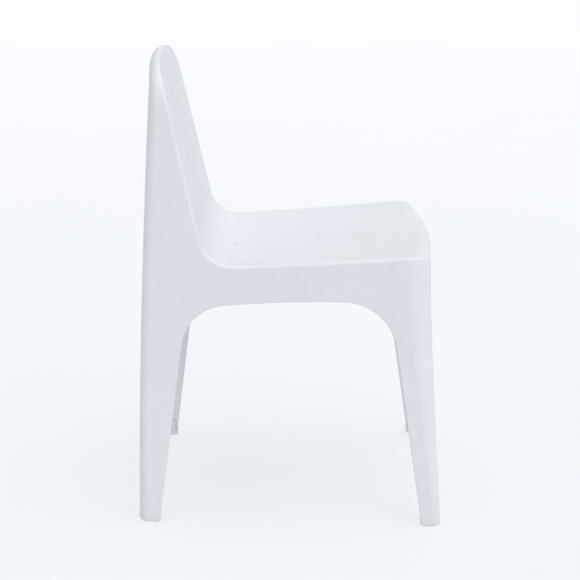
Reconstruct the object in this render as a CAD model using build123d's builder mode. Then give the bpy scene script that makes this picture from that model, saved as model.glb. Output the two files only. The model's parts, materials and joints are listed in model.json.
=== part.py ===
from build123d import *
import math
import os

# Driving dimensions, millimetres. Front is -Y, the sitter's left is +X, floor at z = 0.
CROWN_HEIGHT = 809.0            # top of the backrest before its edges are rounded
WALL = 5.0
FLOOR_HALF_WIDTH = 234.8        # side panel at the floor, halfway along the chair
SIDE_DRAFT = 0.0555             # the panels close in by this much per mm of height
FLOOR_PLAN_TAPER = 0.0334       # and widen towards the front by this much per mm
PLAN_TAPER_GAIN = 0.0000587     # the plan taper grows with height
REAR_HEEL = 265.8               # y of the rear edge at the floor
REAR_LEAN = 0.0084              # the rear edge leans forward by this much per mm of height
REAR_CURVE = 0.000043           # and by this much more per mm squared
FRONT_TOE = 266.9               # -y of the front edge at the floor
FRONT_RAKE = 0.0625             # the front leans back by this much per mm of height
APRON_TOP = 480.0
REAR_BOW_FOOT = 2.0             # how far the rear bulges in its middle, at the floor
REAR_BOW = 14.0                 # and at the top
FRONT_BOW_FOOT = 1.0            # how far the front bulges in its middle, at the floor
FRONT_BOW = 16.5                # and at the seat
FRONT_BOW_POWER = 2.6
CROWN_RADIUS = 700.0
SHOULDER_RADIUS = 68.0
REAR_CORNER = 16.0
SPARE_FRONT_Y = 60.0            # nothing stands in front of this, above SPARE_FRONT_Z
SPARE_FRONT_Z = 560.0
BEYOND = 400.0                  # safely outside the chair, on any side of its middle
BELOW_FLOOR = 20.0
CROWN_REACH = 300.0             # half width of the crown's arc, past the shoulders
FRONT_CORNER_FOOT = 11.0        # the front corners grow rounder from the floor to the seat
FRONT_CORNER_SEAT = 44.0
FOLD_RADIUS = 5.5

# Seat and backrest surface
BACK_LEAN = math.radians(12.2)
BACK_FOOT = (151.2, 501.9)      # (y, z) on the leaning backrest line
SEAT_REAR_Z = 462.0
SEAT_FRONT_Z = 485.0
SEAT_PROFILES_X = (-260.0, -130.0, 0.0, 130.0, 260.0)
HEADROOM = 900.0                # z of the top of the space over the seat
NOSE_DROP = (50.0, 100.0)       # forward and down, from the nose to the cutter's lower corner
NOSE_SETBACK = 6.0              # from the front face to where the seat's nose rolls over
NOSE_BOW = 18.0                 # how far the nose bulges in its middle
NOSE_BOW_HALF_WIDTH = 200.0
NOSE_BOW_POWER = 1.6            # below 2 the nose is more pointed in plan than an arc
SEAT_SAG = 2.3
CREASE_RADIUS = 55.0
NOSE_RADIUS = 28.0
DISH = 11.0                     # how far the middle is sunk between the folds
DISH_HALF_WIDTH = 200.0
NOSE_DISH_SHARE = 0.45

DRAIN_DIAMETER = 6.0
DRAIN_Y = 101.0
RIB_THICKNESS = 3.0
RIB_DEPTH = 18.0
LONG_RIBS_X = (-130.0, -62.0, 62.0, 130.0)
LONG_RIB_LENGTH = 330.0
LONG_RIB_MIDDLE_Y = -52.5
RIB_BASE = 400.0                # below the seat's underside
CROSS_RIBS_Y = (-150.0, -60.0, 30.0)

# Arches between the legs
ARCH_REAR_Y = 229.9             # side arch at the floor, rear leg
ARCH_REAR_RAKE = 0.131
ARCH_FRONT_Y = -233.8           # side arch at the floor, front leg
ARCH_FRONT_RAKE = 0.1488
ARCH_REAR_TOP = 386.5           # z of the arch's corners before they are rounded
ARCH_FRONT_TOP = 402.0
ARCH_MIDDLE_TOP = 402.1
ARCH_REAR_RADIUS = 84.0
ARCH_FRONT_RADIUS = 94.0
FRONT_ARCH_HALF_WIDTH = 204.0   # between the front legs at the floor
REAR_ARCH_HALF_WIDTH = 189.0    # between the rear legs at the floor
END_ARCH_RAKE = 0.12
END_ARCH_CORNER_TOP = 385.0
END_ARCH_TOP = 400.0
END_ARCH_RADIUS = 75.0
ARCH_EDGE_RADIUS = 1.8
RIM_TOLERANCE = 0.6             # an arch's edge this near an outer face is on it

# Glides pushed onto the legs' L-shaped ends, and the glides' soft soles
SEAM_Z = 14.0
LEG_END_CORNER = 2.5
GLIDE_PROUD = 0.8
GLIDE_BASE = 0.8                # the sole stands this much below the glide
GLIDE_REACH = 9.6               # from the leg's outer face to the inner face of the glide
GLIDE_BOTTOM_RADIUS = 4.0
GLIDE_TOP_RADIUS = 0.7
LIP_CLEARANCE = 0.25
LIP_TOP = 30.0
LEG_OPENING = 12.0              # how far the cutter of a leg's open side reaches past the leg
SOLE_MARGIN = 3.4
SOLE_REACH = 8.4
SOLE_TOP = 3.0

TOWER_LEVELS = [105.0 * step for step in range(9)]


def rear_y(z):
    """Rear edge: nearly upright at the floor, leaning forward towards the top."""
    return REAR_HEEL - REAR_LEAN * z - REAR_CURVE * z * z


def front_y(z):
    """Front edge: raked back from the floor to the seat."""
    return -(FRONT_TOE - FRONT_RAKE * z)


def rear_bow(z):
    """How far the rear panel's middle stands behind its corners."""
    return REAR_BOW_FOOT + (REAR_BOW - REAR_BOW_FOOT) * z / CROWN_HEIGHT


def front_bow(z):
    """How far the apron's middle stands in front of its corners."""
    rise = (z / APRON_TOP) ** FRONT_BOW_POWER
    return FRONT_BOW_FOOT + (FRONT_BOW - FRONT_BOW_FOOT) * rise


def half_width(y, z):
    """Outer half width of the side panels at (y, z)."""
    taper = FLOOR_PLAN_TAPER + PLAN_TAPER_GAIN * z
    return FLOOR_HALF_WIDTH - SIDE_DRAFT * z - taper * y


def front_corner(z):
    """Radius of the front corners at this height."""
    rise = min(z / APRON_TOP, 1.0)
    return FRONT_CORNER_FOOT + (FRONT_CORNER_SEAT - FRONT_CORNER_FOOT) * rise


def envelope(inset):
    """The chair's outline without its seat: four drafted walls under a crowned top."""
    with BuildPart() as tower:
        for z in TOWER_LEVELS:
            back, toe = rear_y(z) - inset, front_y(z) + inset
            wide_back = half_width(back, z) - inset
            wide_toe = half_width(toe, z) - inset
            rear_bulge = back + rear_bow(z)
            front_bulge = toe - front_bow(z)
            with BuildSketch(Plane.XY.offset(z)) as plan:
                with BuildLine():
                    Line((wide_toe, toe), (wide_back, back))
                    ThreePointArc((wide_back, back), (0, rear_bulge), (-wide_back, back))
                    Line((-wide_back, back), (-wide_toe, toe))
                    ThreePointArc((-wide_toe, toe), (0, front_bulge), (wide_toe, toe))
                make_face()
                fillet(plan.vertices().group_by(Axis.Y)[0], front_corner(z) - inset)
        loft()
        with Locations((0, SPARE_FRONT_Y - BEYOND, SPARE_FRONT_Z + BEYOND)):
            Box(2 * BEYOND, 2 * BEYOND, 2 * BEYOND, mode=Mode.SUBTRACT)
        top = CROWN_HEIGHT - inset
        reach = CROWN_REACH
        shoulder_z = top - reach * reach / (2 * CROWN_RADIUS)
        with BuildSketch(Plane.XZ):
            with BuildLine():
                ThreePointArc((-reach, shoulder_z), (0, top), (reach, shoulder_z))
                Polyline((reach, shoulder_z), (reach, -BELOW_FLOOR), (-reach, -BELOW_FLOOR),
                         (-reach, shoulder_z))
            make_face()
        extrude(amount=BEYOND, both=True, mode=Mode.INTERSECT)
        side_tops = []
        for edge in tower.edges().filter_by(lambda e: e.center().Z > SPARE_FRONT_Z):
            size = edge.bounding_box().size
            if size.Y > size.X and size.Y > size.Z:
                side_tops.append(edge)
        fillet(side_tops, SHOULDER_RADIUS - inset)
        rear_face = tower.faces().sort_by(Axis.Y)[-1]
        rear_rim = rear_face.edges().filter_by(lambda e: e.bounding_box().max.Z > WALL)
        fillet(rear_rim, REAR_CORNER - inset)
    return tower.part


def sitting_space(inset):
    """The space over the seat and in front of the backrest, dished across."""
    with BuildPart() as space:
        for x in SEAT_PROFILES_X:
            dish = DISH * (1 - (x / DISH_HALF_WIDTH) ** 2)
            depth = dish + inset
            bow = NOSE_BOW * (1 - (abs(x) / NOSE_BOW_HALF_WIDTH) ** NOSE_BOW_POWER)
            lean = math.tan(BACK_LEAN)
            foot_y = BACK_FOOT[0] + depth / math.cos(BACK_LEAN)
            top = (foot_y + lean * (HEADROOM - BACK_FOOT[1]), HEADROOM)
            rear_z = SEAT_REAR_Z - depth
            corner_y = foot_y + lean * (rear_z - BACK_FOOT[1])
            nose_y = NOSE_SETBACK + front_y(APRON_TOP) - bow + inset
            nose_z = SEAT_FRONT_Z - dish * NOSE_DISH_SHARE - inset
            middle = ((corner_y + nose_y) / 2, (rear_z + nose_z) / 2 - SEAT_SAG)
            drop = (nose_y - NOSE_DROP[0], nose_z - NOSE_DROP[1])
            with BuildSketch(Plane.YZ.offset(x)) as profile:
                with BuildLine():
                    Line(top, (corner_y, rear_z))
                    ThreePointArc((corner_y, rear_z), middle, (nose_y, nose_z))
                    Polyline((nose_y, nose_z), drop, (-BEYOND, drop[1]), (-BEYOND, HEADROOM), top)
                make_face()
                crease = profile.vertices().sort_by_distance((corner_y, rear_z))[0]
                fillet(crease, CREASE_RADIUS + inset)
                nose = profile.vertices().sort_by_distance((nose_y, nose_z))[0]
                fillet(nose, NOSE_RADIUS - inset)
        loft()
    return space.part


def cavity():
    """The hollow inside the moulded shell, with the seat's ribs left standing."""
    with BuildPart() as hollow:
        add(envelope(WALL))
        add(sitting_space(WALL), mode=Mode.SUBTRACT)
        add(seat_ribs(), mode=Mode.SUBTRACT)
    return hollow.part


def seat_ribs():
    """Shallow stiffening ribs that follow the underside of the seat."""
    with BuildPart() as ribs:
        with BuildSketch(Plane.XY.offset(RIB_BASE)):
            with Locations(*[(x, LONG_RIB_MIDDLE_Y) for x in LONG_RIBS_X]):
                Rectangle(RIB_THICKNESS, LONG_RIB_LENGTH)
            with Locations(*[(0, y) for y in CROSS_RIBS_Y]):
                Rectangle(2 * FLOOR_HALF_WIDTH, RIB_THICKNESS)
        extrude(amount=SEAT_FRONT_Z - RIB_BASE)
        add(sitting_space(WALL + RIB_DEPTH), mode=Mode.INTERSECT)
    return ribs.part


def side_arch():
    """Prism through both side panels, between front and rear legs."""
    rear_corner = (ARCH_REAR_Y - ARCH_REAR_RAKE * ARCH_REAR_TOP, ARCH_REAR_TOP)
    front_corner = (ARCH_FRONT_Y + ARCH_FRONT_RAKE * ARCH_FRONT_TOP, ARCH_FRONT_TOP)
    below = -BELOW_FLOOR
    rear_foot = (ARCH_REAR_Y - ARCH_REAR_RAKE * below, below)
    front_foot = (ARCH_FRONT_Y + ARCH_FRONT_RAKE * below, below)
    with BuildPart() as arch:
        with BuildSketch(Plane.YZ) as outline:
            with BuildLine():
                Line(rear_foot, rear_corner)
                ThreePointArc(rear_corner, (0, ARCH_MIDDLE_TOP), front_corner)
                Polyline(front_corner, front_foot, rear_foot)
            make_face()
            fillet(outline.vertices().sort_by_distance(rear_corner)[0], ARCH_REAR_RADIUS)
            fillet(outline.vertices().sort_by_distance(front_corner)[0], ARCH_FRONT_RADIUS)
        extrude(amount=BEYOND, both=True)
    return arch.part


def end_arch_half_width(end):
    return REAR_ARCH_HALF_WIDTH if end > 0 else FRONT_ARCH_HALF_WIDTH


def end_arch(end):
    """Prism through the rear panel (end is 1) or the apron (end is -1), between the legs."""
    below = -BELOW_FLOOR
    half = end_arch_half_width(end)
    foot_x = half - END_ARCH_RAKE * below
    corner_x = half - END_ARCH_RAKE * END_ARCH_CORNER_TOP
    corner = (corner_x, END_ARCH_CORNER_TOP)
    mirrored = (-corner_x, END_ARCH_CORNER_TOP)
    with BuildPart() as arch:
        with BuildSketch(Plane.XZ) as outline:
            with BuildLine():
                Line((foot_x, below), corner)
                ThreePointArc(corner, (0, END_ARCH_TOP), mirrored)
                Polyline(mirrored, (-foot_x, below), (foot_x, below))
            make_face()
            fillet(outline.vertices().group_by(Axis.Y)[-1], END_ARCH_RADIUS)
        extrude(amount=-BEYOND * end)
    return arch.part


def leg_outline(z, side, end, inset):
    """Corners of a leg's plan section; side is 1 on the sitter's left, end is 1 at the rear."""
    if end > 0:
        outer_y = rear_y(z) - inset
        inner_y = ARCH_REAR_Y - ARCH_REAR_RAKE * z + inset
    else:
        outer_y = front_y(z) + inset
        inner_y = ARCH_FRONT_Y + ARCH_FRONT_RAKE * z - inset
    inner_x = end_arch_half_width(end) - END_ARCH_RAKE * z + inset
    corners = [(inner_x, inner_y), (half_width(inner_y, z) - inset, inner_y),
               (half_width(outer_y, z) - inset, outer_y), (inner_x, outer_y)]
    return [(side * x, y) for x, y in corners]


def leg_section(z, side, end, inset):
    """A leg's plan section, rounded at the chair's outer corner."""
    corners = leg_outline(z, side, end, inset)
    outer_radius = (REAR_CORNER if end > 0 else front_corner(z)) - inset
    with BuildSketch() as section:
        with BuildLine():
            Polyline(corners, close=True)
        make_face()
        fillet(section.vertices().sort_by_distance(corners[2])[0], outer_radius)
        for corner in (corners[0], corners[1], corners[3]):
            fillet(section.vertices().sort_by_distance(corner)[0], LEG_END_CORNER)
    return section.sketch


def leg_hollow(side, end, inset):
    """The open inner side of a leg's L-shaped section, this far in from the outer faces."""
    z = SEAM_Z
    outer_y = (rear_y(z) if end > 0 else front_y(z)) - inset * end
    outer_x = half_width(outer_y, z) - inset
    inner_x, inner_y = leg_outline(z, side, end, 0.0)[0]
    far_x = inner_x - LEG_OPENING * side
    far_y = inner_y - LEG_OPENING * end
    far_width = half_width(far_y, z) - inset
    with BuildSketch() as hollow:
        with BuildLine():
            Polyline([(side * outer_x, outer_y), (side * far_width, far_y), (far_x, far_y),
                      (far_x, outer_y)], close=True)
        make_face()
        fillet(hollow.vertices().sort_by_distance((side * outer_x, outer_y))[0], LEG_END_CORNER)
    return hollow.sketch


def sole_section(side, end):
    with BuildSketch() as section:
        add(leg_section(SEAM_Z, side, end, SOLE_MARGIN))
        add(leg_hollow(side, end, SOLE_REACH), mode=Mode.SUBTRACT)
    return section.sketch


LEGS = [("front_left", 1, -1), ("front_right", -1, -1), ("rear_left", 1, 1), ("rear_right", -1, 1)]


def outer_rims(edges):
    """The edges of the arches that lie on the outer faces of the shell."""
    rims = []
    for edge in edges:
        middle = edge @ 0.5
        width = half_width(middle.Y, middle.Z)
        fullness = 1 - (middle.X / width) ** 2
        on_side = abs(middle.X) > width - RIM_TOLERANCE
        on_rear = middle.Y > rear_y(middle.Z) + rear_bow(middle.Z) * fullness - RIM_TOLERANCE
        on_front = middle.Y < front_y(middle.Z) - front_bow(middle.Z) * fullness + RIM_TOLERANCE
        if middle.Z > SEAM_Z and (on_side or on_rear or on_front):
            rims.append(edge)
    return rims


def make_shell():
    """One moulded piece: seat, backrest, side panels, apron, rear panel and four legs."""
    with BuildPart() as shell:
        add(envelope(0.0))
        add(sitting_space(0.0), mode=Mode.SUBTRACT)
        fillet(shell.edges(Select.NEW), FOLD_RADIUS)
        add(side_arch(), mode=Mode.SUBTRACT)
        fillet(outer_rims(shell.edges(Select.NEW)), ARCH_EDGE_RADIUS)
        for end in (-1, 1):
            add(end_arch(end), mode=Mode.SUBTRACT)
            fillet(outer_rims(shell.edges(Select.NEW)), ARCH_EDGE_RADIUS)
        add(cavity(), mode=Mode.SUBTRACT)
        with Locations((0, DRAIN_Y, CROWN_HEIGHT / 2)):
            Cylinder(DRAIN_DIAMETER / 2, CROWN_HEIGHT / 2, mode=Mode.SUBTRACT)
        Box(2 * BEYOND, 2 * BEYOND, 2 * SEAM_Z, mode=Mode.SUBTRACT)
    return shell.part


def make_glide(side, end):
    """Hard L-shaped shoe under a leg, with a lip that grips the inside of the leg's wall."""
    with BuildPart() as glide:
        with BuildSketch(Plane.XY.offset(GLIDE_BASE)):
            add(leg_section(SEAM_Z, side, end, -GLIDE_PROUD))
        extrude(amount=SEAM_Z - GLIDE_BASE)
        fillet(glide.edges().group_by(Axis.Z)[0], GLIDE_BOTTOM_RADIUS)
        fillet(glide.edges().group_by(Axis.Z)[-1], GLIDE_TOP_RADIUS)
        for z in (SEAM_Z, LIP_TOP):
            with BuildSketch(Plane.XY.offset(z)):
                add(leg_section(z, side, end, WALL + LIP_CLEARANCE))
        loft()
        with BuildSketch():
            add(leg_hollow(side, end, GLIDE_REACH))
        extrude(amount=2 * LIP_TOP, mode=Mode.SUBTRACT)
        with BuildSketch():
            add(sole_section(side, end))
        extrude(amount=SOLE_TOP, mode=Mode.SUBTRACT)
    return glide.part


def make_sole(side, end):
    """Soft non-slip pad let into the bottom of a glide."""
    with BuildPart() as sole:
        with BuildSketch():
            add(sole_section(side, end))
        extrude(amount=SOLE_TOP)
    return sole.part


os.makedirs("parts", exist_ok=True)
pieces = {"shell": make_shell()}
for name, side, end in LEGS:
    pieces["glide_" + name] = make_glide(side, end)
    pieces["sole_" + name] = make_sole(side, end)
for name, piece in pieces.items():
    piece.label = name
    export_step(piece, "parts/" + name + ".step")
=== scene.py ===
import json
import math

import bpy
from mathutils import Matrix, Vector

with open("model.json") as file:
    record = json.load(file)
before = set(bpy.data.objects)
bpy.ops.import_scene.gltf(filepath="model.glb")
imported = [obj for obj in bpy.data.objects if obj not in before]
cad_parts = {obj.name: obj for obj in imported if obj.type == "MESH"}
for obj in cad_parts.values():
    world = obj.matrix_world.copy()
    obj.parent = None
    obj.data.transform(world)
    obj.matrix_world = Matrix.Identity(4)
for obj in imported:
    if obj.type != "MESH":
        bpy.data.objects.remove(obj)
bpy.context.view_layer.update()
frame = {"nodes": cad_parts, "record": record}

# Camera beside the sitter's right, above the chair and looking down: lens in mm, place in metres.
SENSOR_WIDTH = 36.0
LENS = 111.85
CAMERA_PLACE = (-3.188, -0.024, 1.271)
CAMERA_YAW = -0.44              # degrees
CAMERA_PITCH = 15.87            # degrees

# Studio. A light's direction points from the chair towards the light. The floor is dark and glows,
# so that shadows on it stay faint; its glow brightens from the near X to the far X.
ROOM_COLOUR = (0.985, 0.99, 1.0, 1.0)
ROOM_STRENGTH = 0.54
KEY_FROM = (-0.10, -0.20, 1.0)
KEY_STRENGTH = 1.60
FILL_FROM = (-1.0, -0.68, 0.30)
FILL_STRENGTH = 0.70
LIGHT_SOFTNESS = 70.0           # degrees
FLOOR_SIZE = 60.0
FLOOR_TONES = ((0.176, 0.179, 0.183, 1.0), (0.183, 0.186, 0.190, 1.0))
FLOOR_GLOW_NEAR = (0.690, 0.716, 0.738, 1.0)
FLOOR_GLOW_FAR = (0.764, 0.766, 0.786, 1.0)
GLOW_NEAR_X = -0.6
GLOW_FAR_X = 6.0
GLOW_STRENGTH = 1.0

# Plastics: light, dark and dusty tones, lowest and highest roughness, grain in metres.
SHELL_TONES = ((0.737, 0.768, 0.804, 1.0), (0.716, 0.750, 0.788, 1.0), (0.680, 0.704, 0.725, 1.0))
SHELL_ROUGHNESS = (0.50, 0.62)
SHELL_GRAIN = 0.00085
SHELL_GRAIN_STRENGTH = 0.42
GLIDE_TONES = ((0.735, 0.758, 0.786, 1.0), (0.712, 0.736, 0.766, 1.0), (0.655, 0.672, 0.684, 1.0))
GLIDE_ROUGHNESS = (0.36, 0.48)
GLIDE_GRAIN = 0.00060
GLIDE_GRAIN_STRENGTH = 0.18
PLASTIC_IOR = 1.49
PLASTIC_SPECULAR = 0.26
DUST_TOP = 0.16                 # dust thins out up to this height
DUST_TINT = 0.34
DUST_ROUGHENS = 0.16
SCUFF_TINT = 0.06
SCUFF_ROUGHENS = 0.06
RUBBER_TONE = (0.33, 0.34, 0.35, 1.0)
RUBBER_DUST_TONE = (0.46, 0.47, 0.47, 1.0)

# Lumps per metre of each noise on the plastics.
COARSE_MOTTLE = 6.0
FINE_MOTTLE = 42.0
SPECKLE = 520.0
DUST_FILM = 24.0
ROUGH_PATCHES = 18.0
SCUFF_PATCHES = 5.0
WAVES = 38.0

# Heights of the bumps, in metres.
WAVE_HEIGHT = 0.0004
GRAIN_HEIGHT = 0.00022
SCRATCH_DEPTH = 0.00006
PEBBLE_HEIGHT = 0.0002


# ---------------------------------------------------------------- helpers

def node_tree(name):
    """A fresh material with a Principled shader; returns material, tree, shader."""
    material = bpy.data.materials.new(name)
    material.use_nodes = True
    tree = material.node_tree
    tree.nodes.clear()
    output = tree.nodes.new("ShaderNodeOutputMaterial")
    shader = tree.nodes.new("ShaderNodeBsdfPrincipled")
    tree.links.new(shader.outputs["BSDF"], output.inputs["Surface"])
    return material, tree, shader


def object_coordinates(tree):
    """The place on the piece, in metres in the chair's own frame."""
    return tree.nodes.new("ShaderNodeTexCoord").outputs["Object"]


def noise(tree, coordinates, scale, detail=3.0, roughness=0.5):
    """Cloudy noise; scale is in lumps for each unit of the coordinates."""
    node = tree.nodes.new("ShaderNodeTexNoise")
    node.inputs["Scale"].default_value = scale
    node.inputs["Detail"].default_value = detail
    node.inputs["Roughness"].default_value = roughness
    tree.links.new(coordinates, node.inputs["Vector"])
    return node.outputs["Fac"]


def ramp(tree, value, low, high, low_out=0.0, high_out=1.0):
    """The value stretched so that low..high becomes low_out..high_out, clamped."""
    node = tree.nodes.new("ShaderNodeMapRange")
    node.inputs["From Min"].default_value = low
    node.inputs["From Max"].default_value = high
    node.inputs["To Min"].default_value = low_out
    node.inputs["To Max"].default_value = high_out
    tree.links.new(value, node.inputs["Value"])
    return node.outputs["Result"]


def mix(tree, factor, first, second):
    """A colour between the first (factor 0) and the second (factor 1)."""
    node = tree.nodes.new("ShaderNodeMix")
    node.data_type = "RGBA"
    tree.links.new(factor, node.inputs["Factor"])
    for socket, value in ((node.inputs["A"], first), (node.inputs["B"], second)):
        if isinstance(value, tuple):
            socket.default_value = value
        else:
            tree.links.new(value, socket)
    return node.outputs["Result"]


def stretched(tree, coordinates, scale):
    """The coordinates squeezed along each axis, so that a noise becomes streaks."""
    node = tree.nodes.new("ShaderNodeMapping")
    node.inputs["Scale"].default_value = scale
    tree.links.new(coordinates, node.inputs["Vector"])
    return node.outputs["Vector"]


def combine(tree, operation, first, second):
    """Two values put together by a math operation; either may be a number."""
    node = tree.nodes.new("ShaderNodeMath")
    node.operation = operation
    for socket, value in zip(node.inputs, (first, second)):
        if isinstance(value, float):
            socket.default_value = value
        else:
            tree.links.new(value, socket)
    return node.outputs["Value"]


def bump(tree, height, strength, distance, under=None):
    """A bumped normal, laid over the normal given as under."""
    node = tree.nodes.new("ShaderNodeBump")
    node.inputs["Strength"].default_value = strength
    node.inputs["Distance"].default_value = distance
    tree.links.new(height, node.inputs["Height"])
    if under is not None:
        tree.links.new(under, node.inputs["Normal"])
    return node.outputs["Normal"]


def component(tree, coordinates, axis):
    """One of the coordinates: X, Y or Z."""
    node = tree.nodes.new("ShaderNodeSeparateXYZ")
    tree.links.new(coordinates, node.inputs["Vector"])
    return node.outputs[axis]


# ---------------------------------------------------------------- materials

def scuffs(tree, coordinates):
    """Sparse thin scratches, from two streaked noises that cross each other."""
    first = stretched(tree, coordinates, (9.0, 130.0, 900.0))
    second = stretched(tree, coordinates, (700.0, 11.0, 60.0))
    line = ramp(tree, noise(tree, first, 1.0, 2.0), 0.66, 0.74)
    crossing = ramp(tree, noise(tree, second, 1.0, 2.0), 0.67, 0.75)
    patches = ramp(tree, noise(tree, coordinates, SCUFF_PATCHES, 1.0), 0.48, 0.62)
    return combine(tree, "MULTIPLY", combine(tree, "MAXIMUM", line, crossing), patches)


def moulded_plastic(name, tones, roughness, grain_size, grain_strength):
    """Satin moulded plastic: fine spark-eroded grain, faint mottling, scuffs, dust near the floor."""
    material, tree, shader = node_tree(name)
    where = object_coordinates(tree)
    light_tone, dark_tone, dusty_tone = tones

    coarse = noise(tree, where, COARSE_MOTTLE, 3.0)
    fine = noise(tree, where, FINE_MOTTLE, 3.0)
    mottling = combine(tree, "ADD", coarse, fine)
    colour = mix(tree, ramp(tree, mottling, 0.82, 1.18), dark_tone, light_tone)
    speckle = ramp(tree, noise(tree, where, SPECKLE, 2.0, 0.7), 0.62, 0.80, 0.0, 0.30)
    colour = mix(tree, speckle, colour, dark_tone)
    near_floor = ramp(tree, component(tree, where, "Z"), 0.0, DUST_TOP, 1.0, 0.0)
    cloud = ramp(tree, noise(tree, where, DUST_FILM, 4.0), 0.40, 0.72)
    film = combine(tree, "MULTIPLY", near_floor, cloud)
    colour = mix(tree, combine(tree, "MULTIPLY", film, DUST_TINT), colour, dusty_tone)
    marks = scuffs(tree, where)
    colour = mix(tree, combine(tree, "MULTIPLY", marks, SCUFF_TINT), colour, dusty_tone)
    tree.links.new(colour, shader.inputs["Base Color"])

    low, high = roughness
    rough = ramp(tree, noise(tree, where, ROUGH_PATCHES, 4.0), 0.3, 0.7, low, high)
    rough = combine(tree, "ADD", rough, combine(tree, "MULTIPLY", marks, SCUFF_ROUGHENS))
    rough = combine(tree, "ADD", rough, combine(tree, "MULTIPLY", film, DUST_ROUGHENS))
    tree.links.new(rough, shader.inputs["Roughness"])
    shader.inputs["IOR"].default_value = PLASTIC_IOR
    shader.inputs["Specular IOR Level"].default_value = PLASTIC_SPECULAR

    waviness = bump(tree, noise(tree, where, WAVES, 1.0), 0.10, WAVE_HEIGHT)
    pebbles = noise(tree, where, 1.0 / grain_size, 3.0, 0.62)
    grained = bump(tree, pebbles, grain_strength, GRAIN_HEIGHT, waviness)
    scratched = bump(tree, combine(tree, "MULTIPLY", marks, -1.0), 0.05, SCRATCH_DEPTH, grained)
    tree.links.new(scratched, shader.inputs["Normal"])
    return material


def sole_rubber():
    """Soft grey rubber with a fine pebble and pale dust in it."""
    material, tree, shader = node_tree("sole_rubber")
    where = object_coordinates(tree)
    dust = ramp(tree, noise(tree, where, 150.0, 4.0), 0.45, 0.70)
    colour = mix(tree, dust, RUBBER_TONE, RUBBER_DUST_TONE)
    tree.links.new(colour, shader.inputs["Base Color"])
    rough = ramp(tree, noise(tree, where, 90.0, 3.0), 0.3, 0.7, 0.74, 0.92)
    tree.links.new(rough, shader.inputs["Roughness"])
    pebble = bump(tree, noise(tree, where, 1100.0, 2.0), 0.35, PEBBLE_HEIGHT)
    tree.links.new(pebble, shader.inputs["Normal"])
    return material


def use_material(obj, material):
    """The object's only material."""
    obj.data.materials.clear()
    obj.data.materials.append(material)


materials = {
    "shell_plastic": moulded_plastic("shell_plastic", SHELL_TONES, SHELL_ROUGHNESS, SHELL_GRAIN,
                                     SHELL_GRAIN_STRENGTH),
    "glide_plastic": moulded_plastic("glide_plastic", GLIDE_TONES, GLIDE_ROUGHNESS, GLIDE_GRAIN,
                                     GLIDE_GRAIN_STRENGTH),
    "sole_rubber": sole_rubber(),
}
for subpart in frame["record"]["subparts"]:
    use_material(frame["nodes"][subpart["node"]], materials[subpart["material_slot"]])


# ---------------------------------------------------------------- floor, light, camera

def make_floor():
    """Dark studio floor lit mostly by its own painted glow, so that shadows on it stay faint; the
    painted light brightens further away.
    """
    bpy.ops.mesh.primitive_plane_add(size=FLOOR_SIZE, location=(0, 0, 0))
    floor = bpy.context.object
    floor.name = "floor"
    material, tree, shader = node_tree("floor_sheet")
    where = object_coordinates(tree)
    patch = ramp(tree, noise(tree, where, 0.9, 3.0), 0.3, 0.7)
    colour = mix(tree, patch, *FLOOR_TONES)
    tree.links.new(colour, shader.inputs["Base Color"])
    rough = ramp(tree, noise(tree, where, 3.0, 3.0), 0.3, 0.7, 0.74, 0.86)
    tree.links.new(rough, shader.inputs["Roughness"])
    shader.inputs["Specular IOR Level"].default_value = 0.1
    # Painted light: the floor glows, brighter towards the far X, and this glow stands in for the
    # room's light on the floor.
    distance = ramp(tree, component(tree, where, "X"), GLOW_NEAR_X, GLOW_FAR_X)
    glow = mix(tree, distance, FLOOR_GLOW_NEAR, FLOOR_GLOW_FAR)
    tree.links.new(glow, shader.inputs["Emission Color"])
    shader.inputs["Emission Strength"].default_value = GLOW_STRENGTH
    use_material(floor, material)


def sun(name, comes_from, strength):
    """A distant white light, soft because it is wide."""
    data = bpy.data.lights.new(name, "SUN")
    data.energy = strength
    data.angle = math.radians(LIGHT_SOFTNESS)
    light = bpy.data.objects.new(name, data)
    bpy.context.scene.collection.objects.link(light)
    light.rotation_euler = Vector(comes_from).to_track_quat("Z", "Y").to_euler()


def make_camera():
    """The view from the sitter's right, from above the height of the backrest."""
    data = bpy.data.cameras.new("camera")
    camera = bpy.data.objects.new("camera", data)
    bpy.context.scene.collection.objects.link(camera)
    data.sensor_width = SENSOR_WIDTH
    data.lens = LENS
    data.clip_start = 0.05
    data.clip_end = 100.0
    camera.location = CAMERA_PLACE
    yaw = math.radians(CAMERA_YAW)
    pitch = math.radians(CAMERA_PITCH)
    level = math.cos(pitch)
    look = Vector((math.cos(yaw) * level, -math.sin(yaw) * level, -math.sin(pitch)))
    camera.rotation_euler = look.to_track_quat("-Z", "Y").to_euler()
    bpy.context.scene.camera = camera


def make_world():
    """An even, nearly white room around the chair."""
    world = bpy.data.worlds.new("studio")
    world.use_nodes = True
    background = world.node_tree.nodes["Background"]
    background.inputs["Color"].default_value = ROOM_COLOUR
    background.inputs["Strength"].default_value = ROOM_STRENGTH
    bpy.context.scene.world = world


make_camera()
make_floor()
make_world()
bpy.context.scene.view_settings.view_transform = "Standard"
sun("key", KEY_FROM, KEY_STRENGTH)
sun("fill", FILL_FROM, FILL_STRENGTH)
